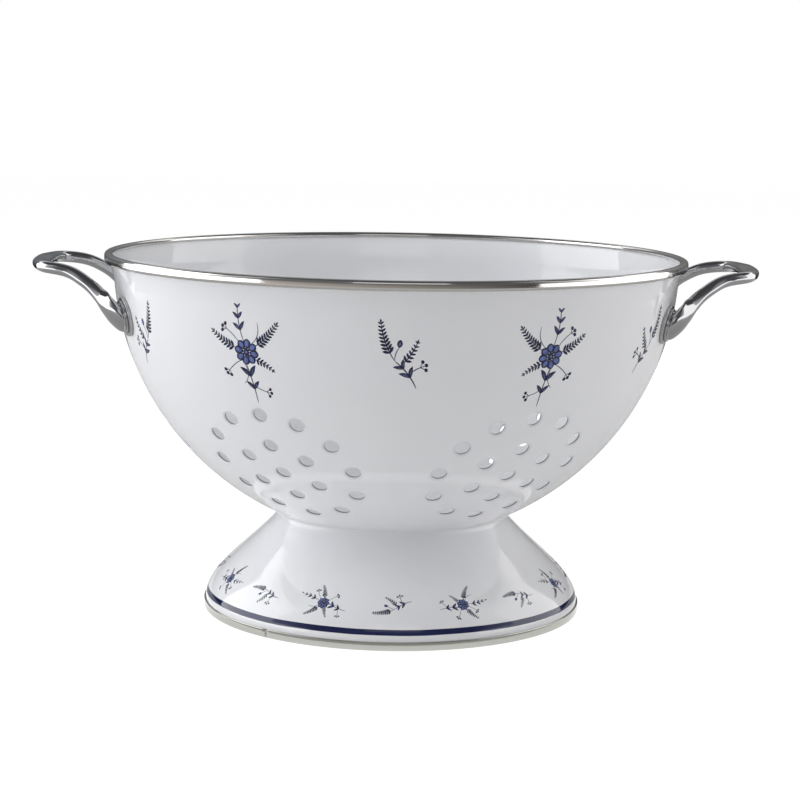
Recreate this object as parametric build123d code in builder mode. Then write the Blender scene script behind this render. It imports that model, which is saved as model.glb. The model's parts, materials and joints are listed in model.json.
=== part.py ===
from build123d import *
from math import asin, cos, degrees, radians, sin, sqrt
import os

# Enamelled pedestal colander: a hemispherical bowl with rosettes of drain holes, on a flared
# foot, with two cast handles. Lengths in millimetres, angles in degrees. Z is up and zero is
# the table, the bowl's axis is Z, and the handles lie on X.

# Bowl, pressed from enamelled steel sheet
bowl_radius = 128.5
bowl_clearance = 33.5
crest_above_centre = 1.6
sheet = 1.2
flare_below_centre = 12.0
neck_angle = 20.0
edge_fit = 0.1

# Drain holes: each rosette is one hole, a ring of six and a ring of twelve
hole_diameter = 7.0
rosette_pitch = 16.5
rosette_drop_share = 0.667
rosette_count = 6
ring_hole_counts = (1, 6, 12)
cut_overrun = 3.0

# Stainless band rolled over the bowl's edge
band_overhang = 4.0
band_width = 3.9
band_height = 4.3
band_lip_height = 2.3
band_sheet = 0.6
band_corner = 1.4
corner_pull_share = 0.55

# Foot, a flared skirt of the same sheet
foot_top_radius = 52.0
foot_flange_width = 8.0
upper_pull_shares = (0.38, 0.40)
lower_pull_shares = (1.0, 0.70)

# Stainless band round the foot's lower edge, with a butt joint where its ends meet
foot_band_radius = 87.1
foot_band_height = 3.8
foot_band_sheet = 0.6
foot_band_corner = 0.45
foot_edge_fit = 0.1
joint_gap = 0.3
joint_azimuth = 230.3

# Seats of the handles on the wall
boss_spacing = 87.6
boss_drop = 24.2
seat_diameter = 16.4
seat_thickness = 1.3
seat_corner = 0.4

# Cast handle, a bail with two legs and a flat crossbar
handle_overhang = 31.8
crossbar_drop = 4.9
leg_spacing = 64.0
corner_radius = 14.0
crossbar_bow = 0.8
crossbar_width = 8.4
crossbar_thickness = 4.3
leg_width = 6.2
leg_thickness = 5.3
neck_width = 8.4
neck_thickness = 7.4
boss_diameter = 12.6
boss_thickness = 11.0
flange_diameter = 14.8
flange_thickness = 1.0
leg_shares = ((0.28, 0.40, 0.39), (0.46, 0.70, 0.68))
corner_rise_shares = (0.86, 0.94, 0.97)
boss_share = 0.05
boss_lean_share = 0.5
neck_share = 0.18
leg_share = 0.34
corner_share = 0.62
bar_share = 0.85

# Screws through the wall into the handle's bosses, with a washer under each head
screw_diameter = 5.0
screw_clearance = 0.3
thread_fit = 0.05
thread_depth = 5.0
bore_spare = 1.0
screw_head_diameter = 9.4
screw_head_height = 2.8
screw_head_crown = 1.2
recess_width = 1.2
recess_span = 5.0
recess_depth = 1.6
washer_diameter = 12.0
washer_thickness = 1.0

centre_height = bowl_clearance + bowl_radius
total_height = centre_height + crest_above_centre
band_radius = bowl_radius + band_overhang
inner_radius = bowl_radius - sheet
boss_tilt = degrees(asin(boss_drop / bowl_radius))
boss_angle = degrees(asin(boss_spacing / 2 / (bowl_radius * cos(radians(boss_tilt)))))
sides = {"right": 0, "left": 180}
ends = {"front": -1, "rear": 1}


def wall_frame(azimuth, drop_angle, radius, turn=0, tilt=0):
    """Frame on a sphere about the bowl's centre, its z axis pointing out through the wall.

    azimuth turns about Z from +X, drop_angle is below the horizon, and tilt leans the frame
    away from there, in the direction that turn gives about the wall's own normal.
    """
    centre = Location((0, 0, centre_height), (0, 0, azimuth))
    aim = Location((0, 0, 0), (0, 90 + drop_angle, 0))
    lean = Location((0, 0, 0), (0, 0, turn)) * Location((0, 0, 0), (0, tilt, 0))
    return centre * aim * lean * Location((0, 0, radius))


def rosette_frames(azimuth, drop_angle, radius):
    """Frames of one rosette's holes, ring by ring round its middle."""
    frames = []
    for ring, count in enumerate(ring_hole_counts):
        tilt = degrees(ring * rosette_pitch / bowl_radius)
        for step in range(count):
            frames.append(wall_frame(azimuth, drop_angle, radius, step * 360 / count, tilt))
    return frames


def boss_frame(side, end, radius):
    """Frame on the axis of one handle boss, at this distance from the bowl's centre."""
    turn = sides[side]
    lean = ends[end] * boss_angle if side == "right" else -ends[end] * boss_angle
    return wall_frame(turn + lean, boss_tilt, radius)


boss_places = [(side, end) for side in sides for end in ends]

os.makedirs("parts", exist_ok=True)

# Bowl: the wall leaves the sphere near the top and flares into a rolled edge
flare_angle = asin(flare_below_centre / bowl_radius)
flare_height = centre_height - flare_below_centre
outer_start = (bowl_radius * cos(flare_angle), flare_height)
inner_start = (inner_radius * cos(flare_angle), centre_height - inner_radius * sin(flare_angle))
flare_direction = (sin(flare_angle), cos(flare_angle))
neck_direction = (sin(radians(neck_angle)), cos(radians(neck_angle)))

channel_top = total_height - band_sheet
channel_bottom = total_height - band_height + band_sheet
channel_outer = band_radius - band_sheet
channel_inner = band_radius - band_width + band_sheet
edge_top = channel_top - edge_fit
edge_bottom = channel_bottom + edge_fit
edge_outer = channel_outer - edge_fit
edge_inner = channel_inner + edge_fit
outer_neck = (edge_inner + sheet, edge_bottom)
inner_neck = (edge_inner, edge_bottom + sheet)
sphere_centre = (0, centre_height)
arc_size = 90 - degrees(flare_angle)
wall_middle = bowl_radius - sheet / 2
cutter_height = sheet + 2 * cut_overrun
rosette_tilt = degrees(asin(rosette_drop_share))

with BuildPart() as bowl:
    with BuildSketch(Plane.XZ):
        with BuildLine():
            CenterArc(sphere_centre, bowl_radius, -90, arc_size)
            Spline(outer_start, outer_neck, tangents=(flare_direction, neck_direction))
            Polyline(
                outer_neck,
                (edge_outer, edge_bottom),
                (edge_outer, edge_top),
                (edge_inner, edge_top),
                inner_neck,
            )
            Spline(inner_start, inner_neck, tangents=(flare_direction, neck_direction))
            CenterArc(sphere_centre, inner_radius, -90, arc_size)
            Line((0, centre_height - bowl_radius), (0, centre_height - inner_radius))
        make_face()
    revolve(axis=Axis.Z)
    for index in range(rosette_count):
        rosette_azimuth = (index + 0.5) * 360 / rosette_count - 90
        with Locations(*rosette_frames(rosette_azimuth, rosette_tilt, wall_middle)):
            Cylinder(hole_diameter / 2, cutter_height, mode=Mode.SUBTRACT)
    with Locations(*rosette_frames(0, 90, wall_middle)):
        Cylinder(hole_diameter / 2, cutter_height, mode=Mode.SUBTRACT)
    with Locations(*[boss_frame(side, end, wall_middle) for side, end in boss_places]):
        Cylinder(screw_diameter / 2 + screw_clearance, cutter_height, mode=Mode.SUBTRACT)
bowl.part.label = "bowl"

# Rim band: a channel open below, where the wall's neck comes in
lip_height = total_height - band_lip_height
throat_outer = outer_neck[0] + edge_fit


def rounded_corners(outer, top, width, height, corner):
    """Curves round the four corners of a band's section, each as the four points of a Bezier."""
    inner = outer - width
    bottom = top - height
    corners = [Vector(*place) for place in ((inner, bottom), (outer, bottom), (outer, top), (inner, top))]
    curves = []
    for before, point, after in zip(corners[-1:] + corners[:-1], corners, corners[1:] + corners[:1]):
        start = point + (before - point).normalized() * corner
        end = point + (after - point).normalized() * corner
        start_pull = start + (point - start) * corner_pull_share
        end_pull = end + (point - end) * corner_pull_share
        curves.append((start, start_pull, end_pull, end))
    return curves


rim_curves = rounded_corners(band_radius, total_height, band_width, band_height, band_corner)
with BuildPart() as rim_band:
    with BuildSketch(Plane.XZ):
        with BuildLine():
            for curve, following in zip(rim_curves, rim_curves[1:] + rim_curves[:1]):
                Bezier(*curve)
                Line(curve[-1], following[0])
        make_face()
        with Locations(((channel_inner + channel_outer) / 2, (channel_bottom + channel_top) / 2)):
            Rectangle(channel_outer - channel_inner, channel_top - channel_bottom, mode=Mode.SUBTRACT)
        with Locations((throat_outer, lip_height)):
            Rectangle(
                band_width,
                band_height,
                align=(Align.MAX, Align.MAX),
                mode=Mode.SUBTRACT,
            )
    revolve(axis=Axis.Z)
rim_band.part.label = "rim_band"

# Foot: a flange follows the bowl's underside, then the sheet bends and flares to the table
foot_edge_radius = foot_band_radius - foot_band_sheet - foot_edge_fit
foot_edge_height = foot_band_sheet + foot_edge_fit
flange_inner_radius = foot_top_radius - foot_flange_width


def under_bowl(radius, depth):
    """Point below the bowl's wall on the ray that meets the wall at this radius."""
    reach = (bowl_radius + depth) / bowl_radius
    fall = sqrt(bowl_radius**2 - radius**2)
    return (radius * reach, centre_height - fall * reach)


def skirt_curve(top, bottom):
    """The four points of the skirt's curve from its bend down to the band."""
    run = bottom[0] - top[0]
    drop = top[1] - bottom[1]
    upper_pull = (top[0] + upper_pull_shares[0] * run, top[1] - upper_pull_shares[1] * drop)
    lower_pull = (top[0] + lower_pull_shares[0] * run, top[1] - lower_pull_shares[1] * drop)
    return (top, upper_pull, lower_pull, bottom)


outer_skirt = skirt_curve(under_bowl(foot_top_radius, 0), (foot_edge_radius, foot_band_height))
outward = Vector(*outer_skirt[1]) - Vector(*outer_skirt[0])
inward = outward.normalized().rotate(Axis.Z, -90) * sheet
inner_top = (outer_skirt[0][0] + inward.X, outer_skirt[0][1] + inward.Y)
inner_skirt = skirt_curve(inner_top, (foot_edge_radius - sheet, foot_band_height))

with BuildPart() as foot:
    with BuildSketch(Plane.XZ):
        with BuildLine():
            Bezier(*outer_skirt)
            Bezier(*inner_skirt)
            Line(outer_skirt[0], inner_skirt[0])
            Polyline(
                outer_skirt[-1],
                (foot_edge_radius, foot_edge_height),
                (foot_edge_radius - sheet, foot_edge_height),
                inner_skirt[-1],
            )
        make_face()
        with BuildLine():
            RadiusArc(under_bowl(flange_inner_radius, 0), under_bowl(foot_top_radius, 0), -bowl_radius)
            RadiusArc(
                under_bowl(flange_inner_radius, sheet),
                under_bowl(foot_top_radius, sheet),
                -bowl_radius - sheet,
            )
            Line(under_bowl(flange_inner_radius, 0), under_bowl(flange_inner_radius, sheet))
            Line(under_bowl(foot_top_radius, 0), under_bowl(foot_top_radius, sheet))
        make_face()
    revolve(axis=Axis.Z)
foot.part.label = "foot"

# Foot band: a channel open above, bent round until the strip's ends nearly meet
foot_channel_width = sheet + 2 * foot_edge_fit
foot_band_width = foot_channel_width + 2 * foot_band_sheet
joint_arc = degrees(joint_gap / foot_band_radius)
foot_curves = rounded_corners(
    foot_band_radius,
    foot_band_height,
    foot_band_width,
    foot_band_height,
    foot_band_corner,
)
with BuildPart() as foot_band:
    with BuildSketch(Plane.XZ.rotated((0, 0, joint_azimuth))):
        with BuildLine():
            for curve, following in zip(foot_curves, foot_curves[1:] + foot_curves[:1]):
                Bezier(*curve)
                Line(curve[-1], following[0])
        make_face()
        with Locations((foot_band_radius - foot_band_width / 2, foot_band_height / 2 + foot_band_sheet)):
            Rectangle(foot_channel_width, foot_band_height, mode=Mode.SUBTRACT)
    revolve(axis=Axis.Z, revolution_arc=360 - joint_arc)
foot_band.part.label = "foot_band"


# Seats: a disc under each boss, hollowed to lie on the wall
def make_seat(side, end):
    frame = boss_frame(side, end, bowl_radius + seat_thickness)
    plane = Plane(frame)
    with BuildPart() as seat:
        with BuildSketch(plane):
            Circle(seat_diameter / 2)
        extrude(amount=-seat_thickness - cut_overrun)
        fillet(seat.edges().sort_by(Axis(plane.origin, plane.z_dir))[-1], seat_corner)
        with BuildSketch(plane):
            Circle(screw_diameter / 2 + screw_clearance)
        extrude(amount=-seat_thickness - cut_overrun, mode=Mode.SUBTRACT)
        with Locations((0, 0, centre_height)):
            Sphere(bowl_radius, mode=Mode.SUBTRACT)
    seat.part.label = f"handle_seat_{side}_{end}"
    return seat


seats = [make_seat(side, end) for side, end in boss_places]


# Washers: each is crowned on the side that lies on the bowl's hollow face
def make_washer(side, end):
    frame = boss_frame(side, end, inner_radius - washer_thickness)
    with BuildPart() as washer:
        with BuildSketch(Plane(frame)):
            Circle(washer_diameter / 2)
            Circle(screw_diameter / 2 + screw_clearance, mode=Mode.SUBTRACT)
        extrude(amount=washer_thickness + cut_overrun)
        with Locations((0, 0, centre_height)):
            Sphere(inner_radius, mode=Mode.INTERSECT)
    washer.part.label = f"screw_washer_{side}_{end}"
    return washer


washers = [make_washer(side, end) for side, end in boss_places]


# Screws: a crowned head with a cross recess, and a shank through the wall into the boss
shank_length = washer_thickness + sheet + seat_thickness + thread_depth


def make_screw(side, end):
    frame = boss_frame(side, end, inner_radius - washer_thickness)
    plane = Plane(frame)
    with BuildPart() as screw:
        with BuildSketch(plane):
            Circle(screw_head_diameter / 2)
        extrude(amount=-screw_head_height)
        fillet(screw.edges().sort_by(Axis(plane.origin, plane.z_dir))[0], screw_head_crown)
        with BuildSketch(plane.offset(-screw_head_height)):
            Rectangle(recess_span, recess_width)
            Rectangle(recess_width, recess_span)
        extrude(amount=recess_depth, mode=Mode.SUBTRACT)
        with BuildSketch(plane):
            Circle(screw_diameter / 2 - thread_fit)
        extrude(amount=shank_length)
    screw.part.label = f"handle_screw_{side}_{end}"
    return screw


screws = [make_screw(side, end) for side, end in boss_places]

# Right handle: sections carried along half a bail, from the rear boss to the crossbar's middle
rear_seat = Plane(boss_frame("right", "rear", bowl_radius + seat_thickness))
front_seat = Plane(boss_frame("right", "front", bowl_radius + seat_thickness))
root = rear_seat.offset(flange_thickness / 2)
root_x, root_y, root_z = root.origin
crossbar_height = total_height - crossbar_drop
bar_x = band_radius + handle_overhang - crossbar_width / 2 - crossbar_bow
corner_x = bar_x - corner_radius
corner_y = leg_spacing / 2 - corner_radius
corner_swing = corner_radius * sin(radians(45))


def bail_point(x, y, rise_share):
    """Point of the bail at this share of the rise from its root to the crossbar."""
    return (x, y, root_z + rise_share * (crossbar_height - root_z))


def leg_point(run_share, lean_share, rise_share):
    """Point of the leg, as shares of its way out, inwards and up."""
    out = root_x + run_share * (bar_x - root_x)
    lean = root_y + lean_share * (leg_spacing / 2 - root_y)
    return bail_point(out, lean, rise_share)


bail_points = [
    bail_point(root_x, root_y, 0),
    *[leg_point(*shares) for shares in leg_shares],
    bail_point(corner_x, leg_spacing / 2, corner_rise_shares[0]),
    bail_point(corner_x + corner_swing, corner_y + corner_swing, corner_rise_shares[1]),
    bail_point(bar_x, corner_y, corner_rise_shares[2]),
    bail_point(bar_x + crossbar_bow, 0, 1),
]
sections = [
    (0, boss_diameter, boss_diameter),
    (boss_share, boss_diameter, boss_thickness),
    (neck_share, neck_width, neck_thickness),
    (leg_share, leg_width, leg_thickness),
    (corner_share, leg_width, leg_thickness),
    (bar_share, crossbar_width, crossbar_thickness),
    (1, crossbar_width, crossbar_thickness),
]

with BuildPart() as handle_right:
    with BuildLine() as bail:
        Spline(*bail_points, tangents=(root.z_dir, (0, -1, 0)))
    bail_curve = bail.line.edge()
    stations = []
    for share, width, thickness in sections:
        middle = bail_curve.position_at(share)
        along = bail_curve.tangent_at(share)
        if share == boss_share:
            along = root.z_dir + (along - root.z_dir) * boss_lean_share
        stations.append((middle, along.normalized(), width, thickness))
    for middle, along, width, thickness in reversed(stations[:-1]):
        mirrored = Vector(middle.X, -middle.Y, middle.Z)
        stations.append((mirrored, Vector(-along.X, along.Y, -along.Z), width, thickness))
    for middle, along, width, thickness in stations:
        with BuildSketch(Plane(origin=middle, x_dir=Vector(0, 0, 1).cross(along), z_dir=along)):
            Ellipse(width / 2, thickness / 2)
    loft()
    for seat_plane in (rear_seat, front_seat):
        with BuildSketch(seat_plane):
            Circle(flange_diameter / 2)
        extrude(amount=flange_thickness)
        with BuildSketch(seat_plane.offset(-cut_overrun)):
            Circle(screw_diameter / 2)
        extrude(amount=cut_overrun + thread_depth + bore_spare, mode=Mode.SUBTRACT)
handle_right.part.label = "handle_right"

# Left handle: the same casting on the other side
with BuildPart() as handle_left:
    add(mirror(handle_right.part, about=Plane.YZ, mode=Mode.PRIVATE))
handle_left.part.label = "handle_left"

pieces = [bowl, rim_band, foot, foot_band, handle_right, handle_left, *seats, *washers, *screws]
for piece in pieces:
    export_step(piece.part, f"parts/{piece.part.label}.step")
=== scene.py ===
# %% [markdown]
# # Enamelled pedestal colander
# A bowl pressed from steel sheet and coated with white glass enamel stands on a flared foot. Both
# open edges wear a rolled stainless band, and two cast handles are screwed to the wall through
# small steel seats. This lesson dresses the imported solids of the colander: every shape below is a
# surface that numpy works out from a formula, in metres, in the same place as the solid.
#
# The first cell loads the solids and reads the sizes that the surfaces share with them.

# %% Frame and shared sizes
import json
import math
import bpy
import numpy as np
from mathutils import Matrix, Vector
from mathutils.geometry import delaunay_2d_cdt

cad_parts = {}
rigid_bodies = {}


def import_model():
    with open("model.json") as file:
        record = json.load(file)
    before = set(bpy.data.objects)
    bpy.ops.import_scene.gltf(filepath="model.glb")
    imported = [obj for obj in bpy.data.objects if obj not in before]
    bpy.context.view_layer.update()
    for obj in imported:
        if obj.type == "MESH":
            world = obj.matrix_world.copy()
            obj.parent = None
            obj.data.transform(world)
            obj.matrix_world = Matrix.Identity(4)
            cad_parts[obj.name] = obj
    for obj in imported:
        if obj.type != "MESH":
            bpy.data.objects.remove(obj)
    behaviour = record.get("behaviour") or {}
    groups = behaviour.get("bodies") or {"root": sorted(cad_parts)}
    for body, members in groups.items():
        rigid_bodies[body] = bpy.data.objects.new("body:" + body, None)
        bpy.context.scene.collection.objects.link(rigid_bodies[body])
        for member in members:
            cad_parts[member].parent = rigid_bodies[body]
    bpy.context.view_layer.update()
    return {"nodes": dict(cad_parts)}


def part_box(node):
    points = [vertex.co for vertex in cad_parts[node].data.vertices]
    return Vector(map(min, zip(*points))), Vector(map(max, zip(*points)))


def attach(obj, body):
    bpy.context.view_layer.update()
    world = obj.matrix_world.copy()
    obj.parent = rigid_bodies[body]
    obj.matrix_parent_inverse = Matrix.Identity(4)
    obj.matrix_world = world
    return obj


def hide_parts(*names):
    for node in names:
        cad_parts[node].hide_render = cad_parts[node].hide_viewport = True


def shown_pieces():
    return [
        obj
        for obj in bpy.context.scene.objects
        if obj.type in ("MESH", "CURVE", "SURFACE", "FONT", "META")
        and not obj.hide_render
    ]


for leftover in list(bpy.data.objects):
    bpy.data.objects.remove(leftover, do_unlink=True)
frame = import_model()
mm = 0.001

rim_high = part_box("rim_band")[1]
foot_band_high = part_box("foot_band")[1]
band_radius, rim_top = rim_high.x, rim_high.z
sheet, wall_setback, centre_drop = 1.2 * mm, 4.0 * mm, 1.6 * mm
bowl_radius, centre_height = band_radius - wall_setback, rim_top - centre_drop
inner_radius = bowl_radius - sheet
bowl_centre = np.array([0.0, 0.0, centre_height])
print("bowl radius", round(bowl_radius, 5), "centre height", round(centre_height, 5))

# %% [markdown]
# ## Formulas that every surface uses
# Directions need vectors of length one, patterns need the length walked along a line, round pieces
# need points given by a radius and an angle, and soft corners need curves that are pulled towards
# control points. Written once for whole arrays, these keep the later cells short.

# %% Directions, lengths, circles and curves
def unit(vectors):
    """The same vectors with length one."""
    return vectors / np.linalg.norm(vectors, axis=-1, keepdims=True)


def walked(points):
    """Length walked along a line of points, up to each of them."""
    return np.concatenate([[0], np.cumsum(np.linalg.norm(np.diff(points, axis=0), axis=1))])


def around(radius, angle, height):
    """Points about Z: radius times cosine, radius times sine, and height."""
    parts = np.broadcast_arrays(radius * np.cos(angle), radius * np.sin(angle), height)
    return np.stack(parts, -1)


def bezier(points, t):
    """Bezier curve: the sum of its control points, each times its binomial weight at share t."""
    last = len(points) - 1
    weights = [math.comb(last, k) * t**k * (1 - t) ** (last - k) for k in range(last + 1)]
    return sum(w * p for w, p in zip(weights, points))


def square_to(line):
    """Unit normals on the right of a line of points in the plane."""
    slope = np.gradient(line, axis=0)
    return unit(np.stack([slope[:, 1], -slope[:, 0]], -1))


print("formulas ready")

# %% [markdown]
# ## From arrays to a mesh
# Most pieces are grids: rows along a profile or a path, columns round an axis. The faces of a grid
# follow from its row and column numbers alone, so one helper serves every piece. Each corner of a
# face also gets a UV of its own, because on a closed ring the last face has to run from the last
# column on to 1, and not back to 0.

# %% Grid faces and mesh pieces
def grid_faces(rows, columns, close_rows=False, close_columns=True, along=None):
    """Quads between neighbouring rows and columns, and the UV of each of their corners.

    Point (row, column) has the number row * columns + column. U is the column's share of the way
    round, V is taken from along, which holds one length per row and one more where rows close.
    """
    row = np.arange(rows if close_rows else rows - 1)[:, None]
    column = np.arange(columns if close_columns else columns - 1)[None, :]
    next_row, next_column = (row + 1) % rows, (column + 1) % columns
    corners = [(row, column), (row, next_column), (next_row, next_column), (next_row, column)]
    faces = np.stack([r * columns + c for r, c in corners], -1).reshape(-1, 4)
    lengths = np.arange(rows + 1, dtype=float) if along is None else np.asarray(along)
    steps = [(row, column), (row, column + 1), (row + 1, column + 1), (row + 1, column)]
    uv = [np.stack(np.broadcast_arrays(c / columns, lengths[r]), -1) for r, c in steps]
    return faces, np.stack(uv, -2).reshape(-1, 2)


def new_object(name, data):
    """Object at the origin with this data, linked to the scene."""
    item = bpy.data.objects.new(name, data)
    bpy.context.scene.collection.objects.link(item)
    return item


def add_piece(name, points, faces, replaced=(), uv=None, values=None, normals=None):
    """Mesh object from arrays of points and of faces, riding on the colander's one body."""
    mesh = bpy.data.meshes.new(name)
    polygons = [face for group in faces for face in np.asarray(group).tolist()]
    mesh.from_pydata(np.asarray(points).tolist(), [], polygons)
    mesh.polygons.foreach_set("use_smooth", np.ones(len(polygons), dtype=bool))
    if uv is not None:
        full = np.zeros((len(mesh.loops), 2))
        full[: len(uv)] = uv
        mesh.uv_layers.new(name="UVMap").data.foreach_set("uv", full.ravel())
    for key, data in (values or {}).items():
        mesh.attributes.new(key, "FLOAT", "POINT").data.foreach_set("value", np.asarray(data))
    mesh.validate()
    if normals is not None:
        mesh.normals_split_custom_set_from_vertices(np.asarray(normals).tolist())
    mesh.update()
    piece = new_object(name, mesh)
    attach(piece, "root")
    if replaced:
        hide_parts(*replaced)
    print(name, len(mesh.vertices), "points", len(mesh.polygons), "faces")
    return piece


# %% [markdown]
# ## Turned shapes
# Rims, bands, seats and washers are all turned: a closed outline in the plane of radius and height
# goes once round an axis. Sharp corners catch no light, so each corner of an outline is replaced by
# a short curve of its own radius first.

# %% Outlines and turning
def rounded_outline(corners, radii, steps=5, pull=0.6):
    """Closed outline whose corners are replaced by cubic Bezier curves, with radii in millimetres.

    Each curve starts and ends at its radius from the corner, on the two sides, and its two middle
    points lie the share pull of the way from there to the corner.
    """
    corners, reach = np.array(corners, float), np.array(radii)[:, None] * mm
    start = corners + unit(np.roll(corners, 1, 0) - corners) * reach
    end = corners + unit(np.roll(corners, -1, 0) - corners) * reach
    curve = [start, start + (corners - start) * pull, end + (corners - end) * pull, end]
    return bezier([p[:, None] for p in curve], np.linspace(0, 1, steps)[:, None]).reshape(-1, 2)


def turned(outline, columns, start=0.0, arc=math.tau):
    """Points of an outline of radius and height, turned about Z from a start over an arc."""
    whole = abs(arc - math.tau) < 1e-9
    angle = start + arc * np.arange(columns) / (columns if whole else columns - 1)
    return around(outline[:, :1], angle, outline[:, 1:]).reshape(-1, 3)


def outline_grid(outline, columns, close_columns=True):
    """Faces and UV of a closed outline carried round, with the length walked along it as V."""
    along = walked(np.concatenate([outline, outline[:1]]))
    return grid_faces(len(outline), columns, True, close_columns, along)


def turned_piece(name, outline, columns, node, start=0.0, axes=np.eye(3), origin=0.0):
    """Piece that is an outline turned once round Z, or round the last of three axes."""
    faces, uv = outline_grid(outline, columns)
    points = turned(outline, columns, start) @ axes + origin
    return add_piece(name, points, [faces], replaced=[node], uv=uv)


def axes_frame(axes):
    """For each axis, two unit vectors square to it that make a right-handed set with it."""
    side = np.cross(axes, [0.0, 0.0, 1.0])
    length = np.linalg.norm(side, axis=1)[:, None]
    side = np.where(length < 1e-6, [0.0, 1.0, 0.0], side / np.maximum(length, 1e-9))
    return np.cross(side, axes), side


print("turning helpers ready")

# %% [markdown]
# ## Where the holes are
# Six rosettes of nineteen holes sit round the wall and one more is under the middle. In each, rings
# of six and twelve holes lie round the first one, and all of them were punched square to the wall.
# So a hole is one unit vector from the bowl's centre. The four screw holes of the handles are found
# in the same way.

# %% Axes of the holes and bosses
def lean_from(azimuth, drop, turn, tilt):
    """Unit vectors tilted away from the wall's normal at an azimuth and an angle below the horizon.

    The normal, the way down the wall and the way round it are the three unit vectors; the result
    is cos(tilt) of the first and sin(tilt) of the turned mix of the other two.
    """
    azimuth, drop, turn, tilt = np.broadcast_arrays(azimuth, drop, turn, tilt)
    normal = around(np.cos(drop), azimuth, -np.sin(drop))
    down = around(-np.sin(drop), azimuth, -np.cos(drop))
    side = around(1.0, azimuth + math.pi / 2, 0.0)
    turn, tilt = turn[..., None], tilt[..., None]
    return np.cos(tilt) * normal + np.sin(tilt) * (np.cos(turn) * down + np.sin(turn) * side)


rosette_drop = math.asin(0.667)
rosette_pitch = 16.5 * mm / bowl_radius
hole_radius = 3.25 * mm
ring_turns = np.concatenate([np.arange(n) * math.tau / n for n in (1, 6, 12)])
ring_tilts = np.repeat([0, 1, 2], [1, 6, 12]) * rosette_pitch
rosette_azimuths = np.radians(np.arange(6) * 60 - 60.0)
wall_rosettes = lean_from(rosette_azimuths[:, None], rosette_drop, ring_turns, ring_tilts)
middle_rosette = lean_from(0.0, math.pi / 2, ring_turns, ring_tilts)
drain_axes = np.concatenate([wall_rosettes.reshape(-1, 3), middle_rosette])

boss_drop = math.asin(24.2 * mm / bowl_radius)
boss_swing = math.asin(43.8 * mm / (bowl_radius * math.cos(boss_drop)))
boss_places = [(side, end) for side in ("right", "left") for end in ("front", "rear")]
boss_azimuths = np.array([-boss_swing, boss_swing, math.pi + boss_swing, math.pi - boss_swing])
boss_axes = lean_from(boss_azimuths, boss_drop, 0.0, 0.0)
print(len(drain_axes), "drain holes,", len(boss_axes), "screw holes")

# %% [markdown]
# ## Bowl
# The bowl is one sheet: an outer skin and an inner skin that are parts of spheres, joined through
# every hole and over the top edge. A sheet with 137 round holes is awkward as a grid, but projected
# from the top pole on to a plane every circle stays a circle, so a flat triangulation of evenly
# spread points and rings of points gives a clean net for both skins. Enamel draws back from an edge
# as it melts, so each hole has a soft lip outside and a smaller one inside: two quarter ellipses.

# %% Net of the bowl's skins
flare_drop = math.asin(12.0 * mm / bowl_radius)
edge_way = np.array([math.cos(flare_drop), -math.sin(flare_drop)])
net_spacing, ring_steps, edge_columns = 2.6 * mm, 24, 288
outer_lip, inner_lip = np.array([1.4, 0.62]) * mm, np.array([0.5, 0.4]) * mm
bore = 2.8 * mm

hole_axes = np.concatenate([drain_axes, boss_axes])
hole_counts = [len(drain_axes), len(boss_axes)]
hole_radii = np.repeat([hole_radius, bore], hole_counts)
lip_scale = np.repeat([1.0, 0.15], hole_counts)
hole_frames = np.stack([*axes_frame(hole_axes), hole_axes], 1)
ring_angles = np.arange(ring_steps) * math.tau / ring_steps


def spread_points(spacing):
    """Evenly spread unit vectors below the flare: equal steps in height, golden angle round."""
    top = -math.sin(flare_drop) - 0.6 * spacing
    count = int(math.tau * (1 + top) / (spacing**2 * math.sqrt(3) / 2))
    height = -1 + (np.arange(count) + 0.5) / count * (1 + top)
    golden_angle = math.pi * (3 - math.sqrt(5))
    return around(np.sqrt(1 - height**2), np.arange(count) * golden_angle, height)


def hole_ring(reach, height):
    """Points round each hole's axis, at a reach from it and a height along it, per hole."""
    return around(reach[:, None], ring_angles, height[:, None]) @ hole_frames


def skin(radius, lip):
    """Points on a sphere: the spread ones, a ring where each hole's lip begins, and the edge."""
    reach = hole_radii + lip * lip_scale
    rings = hole_ring(reach, np.sqrt(radius**2 - reach**2)).reshape(-1, 3)
    return np.concatenate([fill * radius, rings, turned(radius * edge_way[None], edge_columns)])


fill = spread_points(net_spacing / bowl_radius)
keep_out = (hole_radii + outer_lip[0] * lip_scale + 0.55 * net_spacing) / bowl_radius
fill = fill[(fill @ hole_axes.T < np.cos(keep_out)[None, :]).all(1)]
outer_skin, inner_skin = skin(bowl_radius, outer_lip[0]), skin(inner_radius, inner_lip[0])
flat_net = outer_skin[:, :2] / (bowl_radius - outer_skin[:, 2:])
net = delaunay_2d_cdt([Vector(p) for p in flat_net.tolist()], [], [], 0, 1e-9, False)
triangles = np.array(net[2])
ring_points = len(hole_axes) * ring_steps
ring_of = np.full(len(outer_skin), -1)
ring_of[len(fill) : len(fill) + ring_points] = np.repeat(np.arange(len(hole_axes)), ring_steps)
owner = ring_of[triangles]
across_hole = (owner[:, 0] >= 0) & (owner == owner[:, :1]).all(1)
triangles = triangles[~across_hole]
side_a, side_b = (flat_net[triangles[:, k]] - flat_net[triangles[:, 0]] for k in (1, 2))
turns_left = side_a[:, 0] * side_b[:, 1] > side_a[:, 1] * side_b[:, 0]
triangles = np.where(turns_left[:, None], triangles, triangles[:, ::-1])
print("net", len(net[0]), "of", len(outer_skin), "points,", len(triangles), "triangles a skin")

# %% [markdown]
# Between the skins come the lips of the holes, row by row down each hole, and at the top the flare
# and the rolled edge, which the rim band hides. The normals are worked out too, because a mirror
# finish shows the smallest error of a normal that is only averaged from triangles.

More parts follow.
